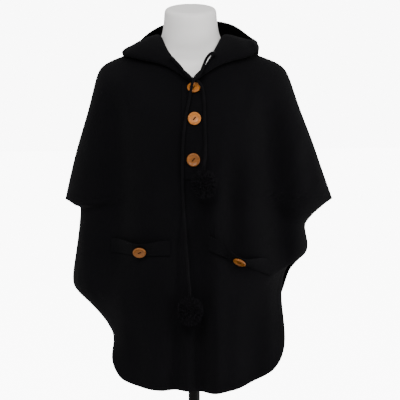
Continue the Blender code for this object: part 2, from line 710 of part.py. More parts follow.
def button_solid(name, place, facing):
    """A dished round button with the middle of its back at a place, looking along facing."""
    radius = BUTTON / 2
    profile = [
        (0.0, 0.0),
        (radius - 2.0, 0.0),
        (radius, 1.6),
        (radius - 0.3, BUTTON_THICK - 0.9),
        (radius - 1.6, BUTTON_THICK),
        (radius - 3.2, BUTTON_THICK - 0.5),
        (radius * 0.45, BUTTON_THICK - 1.7),
        (0.0, BUTTON_THICK - 1.9),
    ]
    bm = bmesh.new()
    points = [bm.verts.new((r, 0, h)) for r, h in profile]
    edges = [bm.edges.new(pair) for pair in zip(points, points[1:])]
    bmesh.ops.spin(
        bm,
        geom=points + edges,
        cent=(0, 0, 0),
        axis=(0, 0, 1),
        angle=2 * pi,
        steps=BUTTON_SIDES,
        use_merge=True,
    )
    bmesh.ops.remove_doubles(bm, verts=bm.verts, dist=0.01)
    look = facing.to_track_quat("Z", "Y").to_matrix().to_4x4()
    bmesh.ops.transform(bm, matrix=Matrix.Translation(place) @ look, verts=bm.verts)
    return add_object(name, bm, "wood", 40)


def seated(name, tree, place, facing):
    """A button near a place, with its back just off the piece that it is sewn on."""
    side = facing.orthogonal().normalized()
    rises = []
    for k in range(BUTTON_SIDES):
        spoke = Matrix.Rotation(2 * pi * k / BUTTON_SIDES, 3, facing) @ side
        for reach in (0.0, 0.25, 0.47):
            hit = tree.ray_cast(place + spoke * BUTTON * reach + facing * BUTTON, -facing)[0]
            if hit is not None:
                rises.append((hit - place).dot(facing))
    return button_solid(name, place + facing * (max(rises) + SEAM_GAP), facing)


def placket_buttons(tree):
    """Three buttons down the placket."""
    for i, (x, z) in enumerate(PLACKET_BUTTONS):
        u, t = FRONT.place(x, z)
        facing = FRONT.normal(u, t)
        facing = Vector((0, facing.y, facing.z)).normalized()
        seated(f"placket_button_{i + 1}", tree, FRONT.point(u, t), facing)


def pocket_button(side, tree):
    """The button on one pocket's welt, which hangs square to the welt's slope."""
    lean, slope = (radians(angle) for angle in POCKETS[side][2:])
    down = Vector((sin(slope), 0, -cos(slope)))
    facing = Vector((0, -cos(lean), 0)) + down * sin(lean)
    seated(f"pocket_button_{side}", tree, pocket_lip(side, 0, 0.5)[0], facing)


def smooth_line(points, spacing):
    """Points evenly spaced along a smooth curve through the given ones."""
    columns = list(zip(*points))
    steps = 24
    fine = [
        Vector([along_rows(column, (), k / steps) for column in columns])
        for k in range((len(points) - 1) * steps + 1)
    ]
    total = sum((b - a).length for a, b in zip(fine, fine[1:]))
    count = round(total / spacing)
    made, walked, k = [fine[0]], 0.0, 0
    for i in range(1, count):
        target = total * i / count
        while walked + (fine[k + 1] - fine[k]).length < target:
            walked += (fine[k + 1] - fine[k]).length
            k += 1
        made.append(fine[k].lerp(fine[k + 1], (target - walked) / (fine[k + 1] - fine[k]).length))
    return made + [fine[-1]]


def cord_solid(side):
    """One end of the drawcord as a round tube with closed ends, down to its pompom."""
    x, y, z = POMPOMS[side]
    top = (x, y, z + POM_TALL / 2 * CORD_SEAT)
    line = smooth_line(CORD_ROUTES[side] + [top], CORD_STEP)
    name = f"drawcord_{side}"
    curve = bpy.data.curves.new(name, "CURVE")
    curve.dimensions = "3D"
    curve.bevel_depth = CORD / 2 * MM
    curve.bevel_resolution = 2
    curve.use_fill_caps = True
    spline = curve.splines.new("POLY")
    spline.points.add(len(line) - 1)
    for slot, point in zip(spline.points, line):
        slot.co = (*(point * MM), 1)
    curve.materials.append(material("yarn"))
    made = bpy.data.objects.new(name, curve)
    bpy.context.scene.collection.objects.link(made)


def pompom_solid(side):
    """A pompom: a core whose every face is drawn out into a lock of three sides."""
    bm = bmesh.new()
    bmesh.ops.create_icosphere(bm, subdivisions=2, radius=POM_CORE)
    for i, face in enumerate(list(bm.faces)):
        out = face.calc_center_median().normalized()
        lock = bmesh.ops.extrude_discrete_faces(bm, faces=[face])["faces"][0]
        middle = lock.calc_center_median()
        reach = (1 - POM_CORE) * (0.86 + 0.1 * sin(i * 2.4))
        for vert in lock.verts:
            vert.co = middle.lerp(vert.co, POM_TAPER) + out * reach
    sizes = Vector((POM_WIDE, POM_DEEP, POM_TALL)) / 2
    for vert in bm.verts:
        vert.co = vert.co * sizes + Vector(POMPOMS[side])
    return add_object(f"pompom_{side}", bm, "yarn", 30)


def clear_scene():
    for found in list(bpy.data.objects):
        bpy.data.objects.remove(found)


def build():
    clear_scene()
    form_solid()
    stand_solids()
    panel_solid("front_panel", FRONT, FRONT_COLUMNS, FRONT_STEPS)
    panel_solid("back_panel", BACK, BACK_COLUMNS, BACK_STEPS)
    hood_solid()
    placket_buttons(placket_solid())
    for side in POCKETS:
        pocket_button(side, pocket_welt(side))
    for side in CORD_ROUTES:
        cord_solid(side)
        pompom_solid(side)


build()
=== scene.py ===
"""The look of the hooded knit poncho on its dress form.

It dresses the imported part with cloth, cords, pompoms, buttons and finishes, and adds the stage
and the camera. +Z is up and the front of the garment faces -Y. The tables and sizes above the
classes are in millimetres unless they say metres, and everything below them is in metres.
"""

import heapq
import random
from math import cos, exp, pi, radians, sin, sqrt

import bmesh
import bpy
import numpy
from bpy.props import FloatProperty, FloatVectorProperty, IntProperty, PointerProperty
from mathutils import Matrix, Quaternion, Vector, noise
from mathutils.bvhtree import BVHTree


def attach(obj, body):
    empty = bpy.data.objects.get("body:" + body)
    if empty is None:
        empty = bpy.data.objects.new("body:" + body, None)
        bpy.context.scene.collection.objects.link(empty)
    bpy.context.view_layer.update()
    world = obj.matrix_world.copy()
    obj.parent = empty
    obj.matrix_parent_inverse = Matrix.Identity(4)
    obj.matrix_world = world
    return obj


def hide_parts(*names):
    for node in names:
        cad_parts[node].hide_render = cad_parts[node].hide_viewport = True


bl_info = {
    "name": "Hooded poncho on a dress form",
    "version": (1, 0, 0),
    "blender": (4, 5, 0),
    "location": "3D View > Sidebar > Poncho",
    "description": "Dresses the packed poncho and its form, and sets the stage for it",
    "category": "Object",
}

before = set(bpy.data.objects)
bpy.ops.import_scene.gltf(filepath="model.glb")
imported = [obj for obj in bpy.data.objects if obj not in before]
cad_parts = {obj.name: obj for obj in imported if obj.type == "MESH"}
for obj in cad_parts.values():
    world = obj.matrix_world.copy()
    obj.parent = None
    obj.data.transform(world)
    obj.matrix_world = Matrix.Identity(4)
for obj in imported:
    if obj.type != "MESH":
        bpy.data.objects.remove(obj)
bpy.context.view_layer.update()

MM = 0.001
BODY = "root"
MERGE = 0.00001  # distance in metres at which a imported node's split points are joined
QUAD_ANGLE = radians(35)  # two triangles join to a quad up to this angle between them
QUAD_SKEW = radians(50)  # and up to this much skew
SMOOTH_ANGLE = 60  # edges sharper than this, in degrees, stay sharp
RIM_ANGLE = radians(70)  # edges sharper than this are the rims of a cloth wall
RIM_ROUND_ANGLE = radians(60)  # rims sharper than this are rounded off
RIM_ROUND = 0.7  # width of the rounding

# Packed cloth nodes: new piece, node, subdivision levels, flat width and length of the cut and
# its area in metres and square metres, how it is held, what it rests on
CLOTHS = [
    ("front_cloth", "front_panel", 2, 0.757, 0.765, 0.42, "draped", "form_shell"),
    ("back_cloth", "back_panel", 2, 0.721, 0.735, 0.409, "draped", "form_shell"),
    ("hood_cloth", "hood", 2, 0.793, 0.454, 0.162, "draped", "front_cloth"),
    ("placket_cloth", "placket", 3, 0.046, 0.198, None, "draped", "front_cloth"),
    ("welt_right_cloth", "pocket_welt_right", 3, 0.126, 0.03, None, "draped", "front_cloth"),
    ("welt_left_cloth", "pocket_welt_left", 3, 0.130, 0.03, None, "draped", "front_cloth"),
]

# Creases of the front and back: name, x and z of each end, half width, height. A height above
# zero is a soft ridge, and one below zero is a trough.
FRONT_CREASES = [
    ("right shoulder pull", -150, 896, -128, 800, 9, 2.6),
    ("right shoulder hollow", -128, 880, -108, 790, 8, -1.6),
    ("right sleeve drape", -226, 800, -196, 690, 10, 3.0),
    ("right sleeve crumple", -236, 700, -206, 660, 7, 2.2),
    ("right elbow crumple", -246, 668, -214, 636, 6, 2.0),
    ("right side drape", -236, 590, -214, 430, 11, 3.2),
    ("right pocket pull", -160, 560, -128, 500, 8, 1.8),
    ("right hip flute", -148, 470, -142, 280, 11, 3.0),
    ("right lower flute", -96, 420, -92, 262, 10, 2.4),
    ("left shoulder pull", 146, 892, 118, 790, 9, 2.6),
    ("left shoulder hollow", 116, 870, 100, 776, 8, -1.6),
    ("left sleeve drape", 238, 790, 212, 700, 10, 3.0),
    ("left sleeve crumple", 262, 700, 226, 664, 7, 2.2),
    ("left elbow crumple", 272, 664, 238, 628, 6, 2.0),
    ("left side drape", 226, 600, 214, 500, 10, 3.0),
    ("left breast flute", 66, 800, 60, 640, 9, 1.6),
    ("left pocket pull", 150, 560, 126, 470, 8, 1.8),
    ("left hip flute", 156, 470, 158, 300, 10, 2.8),
    ("left lower flute", 92, 430, 84, 258, 10, 2.4),
]
BACK_CREASES = [
    ("right arm drape", -214, 790, -204, 660, 10, 3.0),
    ("right elbow crumple", -240, 680, -204, 640, 7, 2.2),
    ("right side drape", -222, 590, -206, 440, 11, 3.0),
    ("right back flute", -70, 740, -74, 420, 10, 2.2),
    ("right hem flute", -128, 420, -126, 270, 11, 2.8),
    ("middle flute", 22, 700, 26, 420, 10, 1.8),
    ("left back flute", 74, 730, 80, 400, 10, 2.2),
    ("left arm drape", 220, 780, 212, 670, 10, 3.0),
    ("left elbow crumple", 258, 690, 218, 640, 7, 2.2),
    ("left side drape", 226, 590, 214, 500, 10, 2.8),
    ("left hem flute", 132, 430, 134, 280, 11, 2.8),
]
CREASE_END = 34.0  # a crease fades out over this length at each end
CREASE_REACH = 3  # and ends at this many half widths to each side
RIPPLE = 0.9  # height of the cloth's slow unevenness
RIPPLE_MEAN = 0.4  # share of that height by which all of the cloth is lifted
RIPPLE_LENGTH = 70.0
RIPPLE_Y = 0.5  # the unevenness is this much slower from front to back
RIPPLE_Z = 0.6  # and this much slower downwards

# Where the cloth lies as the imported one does, and the length over which that ends
SEAM_CALM = 24.0  # near a side seam
FRONT_CALM_TOP = 902.0  # above these heights, under the hood
BACK_CALM_TOP = 775.0
TOP_FADE = 40.0
CORD_MIDDLE = 5.0  # near the middle of the front, under the cords and the placket
CORD_CALM = 34.0
CORD_FADE = 20.0
POCKET_MIDDLES = [(-107, 526), (97, 505)]  # near a pocket's button, x and z
POCKET_CALM = 70.0
POCKET_FADE = 24.0
POCKET_FLAT = 1.8  # the calm round a pocket is this many times wider than high
FORM_ROOM = 0.0008  # least room between the cloth and the form, in metres
FORM_REACH = 0.01  # how far from the cloth the form is looked for, in metres

# Slow unevenness of the hood's back
HOOD_RIPPLE = 1.3
HOOD_MEAN = 0.9  # how far all of it is lifted
HOOD_RIPPLE_LENGTH = 48
HOOD_START_Y = 40  # it begins behind this, and is full after the fade
HOOD_FADE_Y = 40
HOOD_START_Z = 800  # and above this
HOOD_FADE_Z = 60
HOOD_OUT = (0, 1, 0.25)  # the way in which it is lifted

# Middle line of the cloth, where its stitches start, and half the width of it, in metres
KNIT_MIDDLE = 0.004
KNIT_MIDDLE_HALF = 0.006

# Drawcord routes, from just inside the hood's rim to the top of the pompom: x, y, z
CORD_ROUTES = {
    "left": [
        (49.9, -81.4, 922.9),
        (49.3, -84.2, 925.3),
        (48.6, -86.8, 927),
        (46.6, -90.8, 928.6),
        (43.2, -94.8, 928.6),
        (38.3, -98, 925),
        (32.3, -100.5, 917),
        (27.5, -103, 906.5),
        (23.5, -106, 896.5),
        (19.5, -108.5, 887.5),
        (13.5, -110.8, 880.5),
        (7, -113.3, 874.5),
        (2.5, -117, 866),
        (0.5, -120, 856),
        (-1.5, -123.5, 845),
        (-5, -134.5, 825),
        (-10, -144.5, 803),
        (-14, -150, 775),
        (-17, -152.5, 740),
        (-18, -154.5, 700),
        (-18, -155, 660),
        (-17, -156, 620),
        (-15, -159, 580),
        (-13, -162, 540),
        (-10, -166, 500),
        (-8, -170, 470),
        (-6, -175, 450),
        (-6, -175.5, 432.9),
    ],
    "right": [
        (-40.8, -86.2, 917.1),
        (-40.3, -89.2, 919),
        (-39.5, -91.9, 920.4),
        (-37.7, -95.4, 919.8),
        (-34.6, -98.4, 916.1),
        (-29, -100.8, 909.8),
        (-23, -102, 903.5),
        (-16, -102.4, 894),
        (-8, -102.8, 884.5),
        (1, -104.5, 878),
        (9.5, -106.5, 874),
        (17, -109.8, 868.5),
        (22.5, -113.5, 859.5),
        (25.5, -119.5, 847),
        (27, -130, 830),
        (27.5, -143.5, 802),
        (28, -150, 770),
        (28.5, -154, 740),
        (28, -163, 719),
        (26, -173, 706),
        (25, -175, 689.9),
    ],
}
CORD_STEP = 1.3  # between the rings of a cord
CORD_SIDES = 20
CORD_STRANDS = 4
CORD_RADIUS_SHARE = 0.96  # mean radius of the twisted cord, over half its diameter
CORD_LOBE = 0.09  # rise of each strand over the mean radius, as a share of it
CURVE_STEPS = 24  # between two points of a route, when its curve is measured

# Pompoms: x, y, z of the middle, and its half width, half depth and half height
POMPOMS = {"left": (-6, -175.5, 407), "right": (25, -175, 664)}
POMPOM_HALVES = (28, 24, 32)
POMPOM_SEEDS = {"left": 11, "right": 23}

# Parts of a pompom whose own radius is 1
CORE_RADIUS = 0.66
CORE_LUMPS = 0.12
YARN_SIDES = 3
YARN_CUTS = 2  # rings between the foot and the tip of a yarn end
YARN_FOOT = 0.034  # radius of a yarn end at its foot
YARN_TIP = 0.026  # and at its tip
YARN_LENGTH = 0.5
YARN_TIPS = (0.80, 0.985)  # least and most distance of a tip from the middle
YARN_TURN = 0.12  # how far a yarn end is off its even place round the ball, in radians
YARN_LEAN = 0.24
YARN_DROOP = 0.25  # how far the yarn ends lean down on the whole
YARN_SWAY = 0.07
SWAY_START = 0.55  # distance from the middle where a yarn end starts to sway
SWAY_LENGTH = 0.45

# Button profile: radius and height over the back, from the flat middle, where the holes are,
# out to the back's edge
BUTTON_PROFILE = [
    (5.8, 2.7),
    (7.6, 2.85),
    (9.2, 3.35),
    (10.3, 4.1),
    (11.2, 4.5),
    (12.1, 4.55),
    (12.8, 4.2),
    (13.3, 3.5),
    (13.5, 2.6),
    (13.3, 1.5),
    (12.6, 0.6),
    (11.4, 0.0),
]
BUTTON_STEPS = 56
HOLE_STEPS = 14
HOLE_REACH = 0.6  # a hole's rim is found within this many of its diameters
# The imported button, its new name, and how far it is turned, in degrees from the level
BUTTONS = [
    ("placket_button_1", "wood_button_1", 58),
    ("placket_button_2", "wood_button_2", 52),
    ("placket_button_3", "wood_button_3", 48),
    ("pocket_button_right", "wood_button_right", 30),
    ("pocket_button_left", "wood_button_left", 15),
]

# Stitches of the thread over a button
THREAD_PLACES = (-0.55, 0.0, 0.55)  # beside the line through the two holes
THREAD_RADIUS = 0.36
THREAD_RISE = 1.1  # over the button's flat middle
THREAD_FOOT = 0.2  # height over the button's back where it ends
THREAD_ROUNDNESS = 0.7  # below 1 the stitch has a flatter top
THREAD_STEPS = 16
THREAD_SIDES = 8

# Painted light and shade by height in metres: the lower and the upper height, and the tone at each
# painted light: buttons above the upper height are lightened, those below the lower height darkened
WOOD_PAINTED_LIGHT = (0.72, 0.79, 0.69, 1.34)
# painted shade: the form is darker above the upper height, at the neck, than at the chest
FORM_PAINTED_SHADE = (0.90, 0.985, 1.0, 0.78)

# Soft lights: name, place, width and height in metres, strength in watts
LIGHTS = [
    ("key_light", (-0.8, -3.0, 3.2), 1.6, 1.4, 100.0),
    ("fill_light", (2.0, -2.6, 3.0), 1.0, 1.4, 62.0),
    ("top_light", (0.0, 0.6, 2.9), 2.2, 1.2, 12.0),
    ("strip_light", (1.7, -0.5, 0.1), 0.7, 0.6, 22.0),
]
AIM = (0.0165, 0.0, 0.62)  # the point in the middle of the picture, in metres
FLOOR_DROP = 0.0002  # of the floor's face below the base plate's, in metres
CLIP_END = 100.0  # how far the camera sees, in metres
SENSOR_WIDTH = 36.0  # of the camera


class PONCHO_stage_look(bpy.types.PropertyGroup):
    """Sizes and colours of the stage and the camera."""

    distance: FloatProperty(
        name="Camera distance",
        description="From the camera to the middle of the picture",
        default=3.2,
        min=1.0,
        unit="LENGTH",
    )
    height_angle: FloatProperty(
        name="Camera height angle",
        description="Angle of the camera above the level",
        default=radians(4.0),
        subtype="ANGLE",
    )
    roll: FloatProperty(
        name="Camera roll",
        description="Turn of the camera about its line of sight",
        default=radians(0.55),
        subtype="ANGLE",
    )
    view_width: FloatProperty(
        name="View width",
        description="Width that the picture takes in at the middle of the form",
        default=0.852,
        min=0.1,
        unit="LENGTH",
    )
    floor_width: FloatProperty(
        name="Floor width",
        description="Width of the plain floor",
        default=40.0,
        min=2.0,
        unit="LENGTH",
    )
    floor_colour: FloatVectorProperty(
        name="Floor colour",
        description="Colour of the plain floor",
        default=(0.93, 0.93, 0.93),
        subtype="COLOR",
        min=0.0,
        max=1.0,
    )
    backdrop: FloatProperty(
        name="Backdrop",
        description="Brightness of the plain white backdrop and floor in the picture",
        default=9.0,
        min=0.0,
    )
    surround: FloatProperty(
        name="Surround light",
        description="Strength of the white light from all round",
        default=0.68,
        min=0.0,
    )


class PONCHO_cloth_look(bpy.types.PropertyGroup):
    """Sizes and colours of the knit."""

    colour: FloatVectorProperty(
        name="Knit colour",
        description="Colour of the raised stitches",
        default=(0.0040, 0.0038, 0.0045),
        subtype="COLOR",
        min=0.0,
        max=1.0,
    )
    # painted shade: this colour darkens the knit between the stitches
    shade: FloatVectorProperty(
        name="Shade colour",
        description="Colour between the stitches",
        default=(0.0010, 0.0010, 0.0012),
        subtype="COLOR",
        min=0.0,
        max=1.0,
    )
    wale: FloatProperty(
        name="Wale",
        description="Width of one column of stitches",
        default=0.0026,
        min=0.0005,
        unit="LENGTH",
    )
    course: FloatProperty(
        name="Course",
        description="Height of one row of stitches",
        default=0.0019,
        min=0.0005,
        unit="LENGTH",
    )
    sheen: FloatProperty(
        name="Sheen",
        description="Light that the fibres catch at the cloth's edges",
        default=0.012,
        min=0.0,
        max=1.0,
        subtype="FACTOR",
    )


class PONCHO_trim_look(bpy.types.PropertyGroup):
    """Sizes and colours of the cords, the pompoms and the buttons."""

    cord: FloatProperty(
        name="Cord diameter",
        description="Diameter of the drawcord",
        default=0.006,
        min=0.001,
        unit="LENGTH",
    )
    cord_lay: FloatProperty(
        name="Cord lay",
        description="Length in which the cord's strands go once round",
        default=0.021,
        min=0.002,
        unit="LENGTH",
    )
    yarn: FloatVectorProperty(
        name="Yarn colour",
        description="Colour of the pompoms and the sewing",
        default=(0.0075, 0.0070, 0.0082),
        subtype="COLOR",
        min=0.0,
        max=1.0,
    )
    cord_colour: FloatVectorProperty(
        name="Cord colour",
        description="Colour of the drawcord",
        default=(0.0050, 0.0048, 0.0055),
        subtype="COLOR",
        min=0.0,
        max=1.0,
    )
    strands: IntProperty(
        name="Pompom strands",
        description="Yarn ends in each pompom",
        default=1500,
        min=100,
        max=4000,
    )
    wood: FloatVectorProperty(
        name="Wood colour",
        description="Lighter colour of the buttons' wood",
        default=(0.28, 0.094, 0.012),
        subtype="COLOR",
        min=0.0,
        max=1.0,
    )
    wood_dark: FloatVectorProperty(
        name="Dark wood colour",
        description="Darker colour of the buttons' grain",
        default=(0.13, 0.035, 0.003),
        subtype="COLOR",
        min=0.0,
        max=1.0,
    )
    hole: FloatProperty(
        name="Button hole",
        description="Diameter of each hole in a button",
        default=0.0026,
        min=0.0005,
        unit="LENGTH",
    )
    hole_apart: FloatProperty(
        name="Holes apart",
        description="Distance between the middles of a button's two holes",
        default=0.0062,
        min=0.001,
        unit="LENGTH",
    )


class PONCHO_form_look(bpy.types.PropertyGroup):
    """Colours of the dress form and its stand."""

    shell: FloatVectorProperty(
        name="Form colour",
        description="Colour of the dress form",
        default=(0.94, 0.92, 0.90),
        subtype="COLOR",
        min=0.0,
        max=1.0,
    )
    steel: FloatVectorProperty(
        name="Stand colour",
        description="Colour of the stand's finish",
        default=(0.0012, 0.0010, 0.0009),
        subtype="COLOR",
        min=0.0,
        max=1.0,
    )


def look(name):
    """The property group of that name."""
    return getattr(bpy.context.scene, f"poncho_{name}")


def ease(share):
    """A smooth step from 0 to 1."""
    share = min(max(share, 0.0), 1.0)
    return share * share * (3 - 2 * share)


# Materials


def set_inputs(tree, node, inputs):
    """Fills a node's inputs. Each is a value or the socket that feeds it."""
    for key, value in inputs.items():
        if isinstance(value, bpy.types.NodeSocket):
            tree.links.new(value, node.inputs[key])
        else:
            node.inputs[key].default_value = value


def add_node(tree, kind, inputs=None, **settings):
    """A node with its settings and inputs."""
    node = tree.nodes.new(kind)
    for key, value in settings.items():
        setattr(node, key, value)
    set_inputs(tree, node, inputs or {})
    return node


def calc(tree, operation, *values):
    """The result of a Math node."""
    return add_node(tree, "ShaderNodeMath", dict(enumerate(values)), operation=operation).outputs[0]


def mix_colour(tree, share, first, second, blend="MIX"):
    """The colour between two, by a share."""
    node = add_node(
        tree,
        "ShaderNodeMix",
        {0: share, 6: first, 7: second},
        data_type="RGBA",
        blend_type=blend,
    )
    return node.outputs[2]


def new_group(name, inputs, outputs):
    """An empty shader node group with named sockets, and its input and output nodes."""
    tree = bpy.data.node_groups.new(name, "ShaderNodeTree")
    for label, kind, value in inputs:
        socket = tree.interface.new_socket(label, in_out="INPUT", socket_type=kind)
        if value is not None:
            socket.default_value = value
    for label, kind in outputs:
        tree.interface.new_socket(label, in_out="OUTPUT", socket_type=kind)
    return tree, tree.nodes.new("NodeGroupInput"), tree.nodes.new("NodeGroupOutput")


def group_node(tree, name, inputs):
    """A copy of a shared group, placed in a material."""
    node = tree.nodes.new("ShaderNodeGroup")
    node.node_tree = bpy.data.node_groups[name]
    set_inputs(tree, node, inputs)
    return node


def stitches_group():
    """Plain knit: columns of V-shaped stitches, laid out by the cloth's own UV map in metres."""
    tree, given, result = new_group(
        "Stitches",
        [
            ("Place", "NodeSocketVector", None),
            ("Wale", "NodeSocketFloat", 0.0026),
            ("Course", "NodeSocketFloat", 0.0019),
        ],
        [("Height", "NodeSocketFloat"), ("Depth", "NodeSocketFloat")],
    )
    place = add_node(tree, "ShaderNodeSeparateXYZ", {0: given.outputs["Place"]})
    wobble = add_node(
        tree, "ShaderNodeTexNoise", {"Vector": given.outputs["Place"], "Scale": 90.0, "Detail": 1.0}
    )
    sway = calc(tree, "MULTIPLY", calc(tree, "SUBTRACT", wobble.outputs["Fac"], 0.5), 0.0011)
    across = calc(tree, "ADD", place.outputs[0], sway)
    column = calc(tree, "FRACT", calc(tree, "DIVIDE", across, given.outputs["Wale"]))
    side = calc(tree, "ABSOLUTE", calc(tree, "SUBTRACT", column, 0.5))
    leg = calc(tree, "SINE", calc(tree, "MULTIPLY", side, 2 * pi))
    row = calc(tree, "DIVIDE", place.outputs[1], given.outputs["Course"])
    slant = calc(tree, "ADD", row, calc(tree, "MULTIPLY", side, 1.3))
    turn = calc(tree, "SINE", calc(tree, "MULTIPLY", slant, 2 * pi))
    stitch = calc(tree, "ADD", calc(tree, "MULTIPLY", turn, 0.5), 0.5)
    height = calc(tree, "MULTIPLY", calc(tree, "ABSOLUTE", leg), calc(tree, "ADD", stitch, 0.5))
    tree.links.new(height, result.inputs["Height"])
    tree.links.new(calc(tree, "SUBTRACT", 1.0, leg), result.inputs["Depth"])


def mottle_group():
    """Slow and fine unevenness of a surface, in Object coordinates, as two masks."""
    tree, given, result = new_group(
        "Mottle",
        [
            ("Place", "NodeSocketVector", None),
            ("Slow scale", "NodeSocketFloat", 9.0),
            ("Fine scale", "NodeSocketFloat", 400.0),
        ],
        [("Slow", "NodeSocketFloat"), ("Fine", "NodeSocketFloat")],
    )
    for label, scale, detail in (("Slow", "Slow scale", 3.0), ("Fine", "Fine scale", 2.0)):
        texture = add_node(
            tree,
            "ShaderNodeTexNoise",
            {"Vector": given.outputs["Place"], "Scale": given.outputs[scale], "Detail": detail},
        )
        tree.links.new(texture.outputs["Fac"], result.inputs[label])


def new_material(name):
    """A material with its node tree, its shader and the Object coordinates."""
    made = bpy.data.materials.new(name)
    made.use_nodes = True
    tree = made.node_tree
    place = add_node(tree, "ShaderNodeTexCoord").outputs["Object"]
    return made, tree, tree.nodes["Principled BSDF"], place


def feed(tree, shader, **sockets):
    """Links sockets of a material to its shader, by the shader's input names."""
    for name, socket in sockets.items():
        tree.links.new(socket, shader.inputs[name.replace("_", " ")])


def spread(tree, value, low, high):
    """A mask from 0 to 1 stretched between two numbers."""
    node = add_node(tree, "ShaderNodeMapRange", {0: value, 3: low, 4: high})
    return node.outputs[0]


def toned(tree, colour, tone):
    """A colour times a tone."""
    grey = add_node(tree, "ShaderNodeCombineColor", {0: tone, 1: tone, 2: tone}).outputs[0]
    return mix_colour(tree, 1.0, colour, grey, "MULTIPLY")


def toned_by_height(tree, colour, place, low, high, low_tone, high_tone):
    """A colour times a tone that changes between two heights."""
    height = add_node(tree, "ShaderNodeSeparateXYZ", {0: place}).outputs[2]
    tone = add_node(
        tree, "ShaderNodeMapRange", {0: height, 1: low, 2: high, 3: low_tone, 4: high_tone}
    ).outputs[0]
    return toned(tree, colour, tone)


def rough_normal(tree, height, strength, distance):
    """The normal of a surface made uneven by a height."""
    values = {"Height": height, "Strength": strength, "Distance": distance}
    return add_node(tree, "ShaderNodeBump", values).outputs[0]


def set_gloss(shader, **values):
    """Constant values of a shader's inputs, by their names."""
    for name, value in values.items():
        shader.inputs[name.replace("_", " ")].default_value = value


def knit_material():
    """Fine black knit with a faint nap."""
    wanted = look("cloth")
    made, tree, shader, place = new_material("black_knit")
    laid_out = add_node(tree, "ShaderNodeUVMap", uv_map="cloth").outputs[0]
    stitch = group_node(
        tree, "Stitches", {"Place": laid_out, "Wale": wanted.wale, "Course": wanted.course}
    )
    mottle = group_node(tree, "Mottle", {"Place": place, "Slow scale": 7.0, "Fine scale": 900.0})
    # Painted shade: the shade colour darkens the knit between the stitches, where the depth mask is
    # high.
    stitches = mix_colour(
        tree, stitch.outputs["Depth"], (*wanted.colour, 1), (*wanted.shade, 1)
    )
    nap = calc(tree, "MULTIPLY", mottle.outputs["Fine"], 0.6)
    height = calc(tree, "ADD", stitch.outputs["Height"], nap)
    feed(
        tree,
        shader,
        Base_Color=toned(tree, stitches, spread(tree, mottle.outputs["Slow"], 0.75, 1.3)),
        Roughness=spread(tree, mottle.outputs["Slow"], 0.82, 0.95),
        Normal=rough_normal(tree, height, 0.45, 0.0005),
    )
    set_gloss(shader, Sheen_Weight=wanted.sheen, Sheen_Roughness=0.5, Specular_IOR_Level=0.02)
    return made


def yarn_material():
    """Black yarn of the pompoms and the sewing."""
    return spun_material("black_yarn", look("trim").yarn)


def cord_material():
    """Black twisted cord."""
    return spun_material("black_cord", look("trim").cord_colour)


def spun_material(name, tint):
    """Matt spun yarn of a colour."""
    made, tree, shader, place = new_material(name)
    mottle = group_node(tree, "Mottle", {"Place": place, "Slow scale": 60.0, "Fine scale": 1800.0})
    dark = tuple(part * 0.45 for part in tint)
    feed(
        tree,
        shader,
        Base_Color=mix_colour(tree, mottle.outputs["Slow"], (*dark, 1), (*tint, 1)),
        Roughness=spread(tree, mottle.outputs["Slow"], 0.85, 1.0),
        Normal=rough_normal(tree, mottle.outputs["Fine"], 0.5, 0.0003),
    )
    set_gloss(shader, Sheen_Weight=0.01, Specular_IOR_Level=0.015)
    return made


def wood_material():
    """Turned wood under a light varnish, with its grain across the buttons.

    The lower buttons are painted darker and the upper ones lighter: painted light and shade, for
    the highlight that the upper buttons catch.
    """
    wanted = look("trim")
    made, tree, shader, place = new_material("turned_wood")
    stretched = add_node(
        tree,
        "ShaderNodeMapping",
        {"Vector": place, "Rotation": (0.2, 0.5, 0.35), "Scale": (1, 1, 7)},
    ).outputs[0]
    rings = add_node(
        tree,
        "ShaderNodeTexWave",
        {"Vector": stretched, "Scale": 38.0, "Distortion": 5.0, "Detail": 3.0},
        wave_type="BANDS",
    ).outputs["Fac"]
    mottle = group_node(
        tree, "Mottle", {"Place": stretched, "Slow scale": 45.0, "Fine scale": 600.0}
    )
    grain = mix_colour(tree, rings, (*wanted.wood_dark, 1), (*wanted.wood, 1))
    pale = tuple(min(part * 1.45, 1.0) for part in wanted.wood)
    patches = spread(tree, mottle.outputs["Slow"], -0.35, 0.9)
    colour = mix_colour(tree, patches, grain, (*pale, 1))
    feed(
        tree,
        shader,
        # Painted light: the tone by height lightens the upper buttons and darkens the lower ones.
        Base_Color=toned_by_height(tree, colour, place, *WOOD_PAINTED_LIGHT),
        Roughness=spread(tree, rings, 0.42, 0.3),
        Normal=rough_normal(tree, mottle.outputs["Fine"], 0.25, 0.0002),
    )
    set_gloss(shader, Specular_IOR_Level=0.22, Coat_Weight=0.08, Coat_Roughness=0.22)
    return made


def shell_material():
    """White satin plastic of the dress form, with painted shade that darkens it towards the top of
    the neck.
    """
    made, tree, shader, place = new_material("white_satin")
    mottle = group_node(tree, "Mottle", {"Place": place, "Slow scale": 6.0, "Fine scale": 260.0})
    shell = look("form").shell
    dull = tuple(part * 0.94 for part in shell)
    clouded = mix_colour(tree, mottle.outputs["Slow"], (*dull, 1), (*shell, 1))
    feed(
        tree,
        shader,
        # Painted shade: the tone by height darkens the upper neck against the brighter chest.
        Base_Color=toned_by_height(tree, clouded, place, *FORM_PAINTED_SHADE),
        Roughness=spread(tree, mottle.outputs["Slow"], 0.36, 0.46),
        Normal=rough_normal(tree, mottle.outputs["Fine"], 0.06, 0.0004),
    )
    return made


